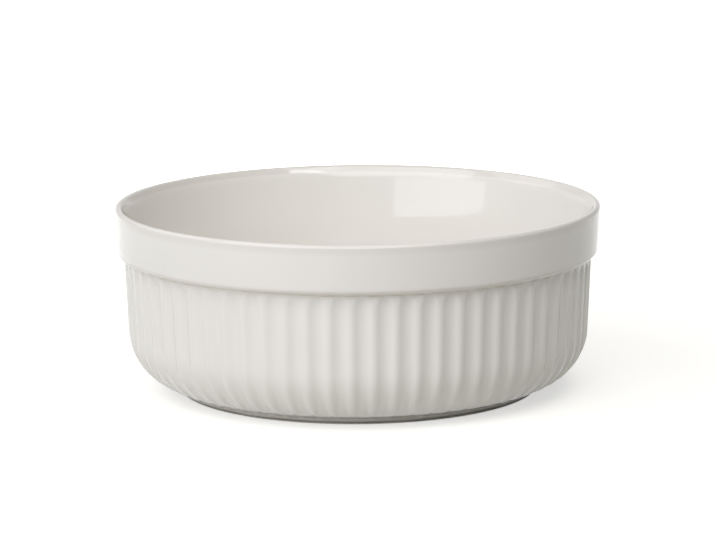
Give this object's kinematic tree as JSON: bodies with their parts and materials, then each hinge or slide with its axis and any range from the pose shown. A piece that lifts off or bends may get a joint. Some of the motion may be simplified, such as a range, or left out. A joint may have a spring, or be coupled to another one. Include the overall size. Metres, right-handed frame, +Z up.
{
  "type": "baking dish",
  "caption": "Round deep oven dish of glazed stoneware with a plain collar, a ribbed wall that fades into a rounded base, and a bare foot ring.",
  "frame": {"origin": "middle of the foot ring, on the surface that the dish stands on", "axes": "+Z up along the axis of the dish; a groove between two ribs lies on -Y, which faces the camera"},
  "size_m": [0.2598, 0.2598, 0.0994],
  "materials": {
    "stoneware": "matte",
    "glaze": "gloss"
  },
  "bodies": {
    "root": {"stoneware_body": "stoneware", "glaze_coat": "glaze", "base_glaze": "glaze"}
  },
  "joints": []
}
